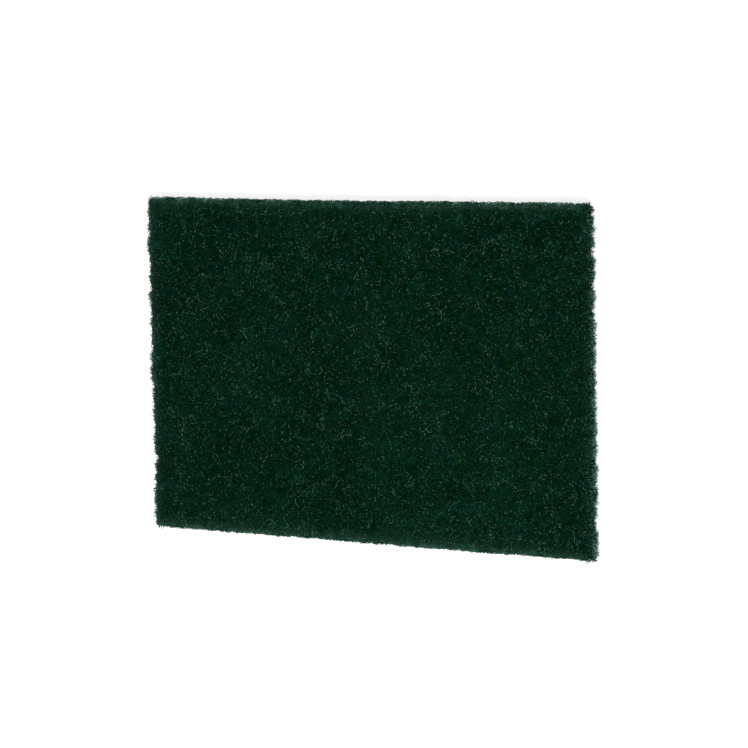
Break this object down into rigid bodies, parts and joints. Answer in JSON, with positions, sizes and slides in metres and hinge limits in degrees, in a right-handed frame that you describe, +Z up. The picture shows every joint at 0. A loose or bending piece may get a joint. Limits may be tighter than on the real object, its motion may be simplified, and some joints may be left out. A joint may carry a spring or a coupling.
{
  "type": "scouring pad",
  "caption": "Flat rectangular scouring pad of curled green nylon fibre bonded into one springy web, with a lumpy surface and ragged cut edges.",
  "frame": {"origin": "middle of the pad's bounding box at its lowest plane, where it rests", "axes": "+X along the long side, +Y along the short side, +Z up through the thickness, out of the face that the picture shows"},
  "size_m": [0.2302, 0.153, 0.0079],
  "materials": {
    "green_nylon_web": "matt crimped nylon fibre coated with dark green resin and fine grit"
  },
  "bodies": {
    "root": {"scouring_pad": "green_nylon_web"}
  },
  "joints": []
}
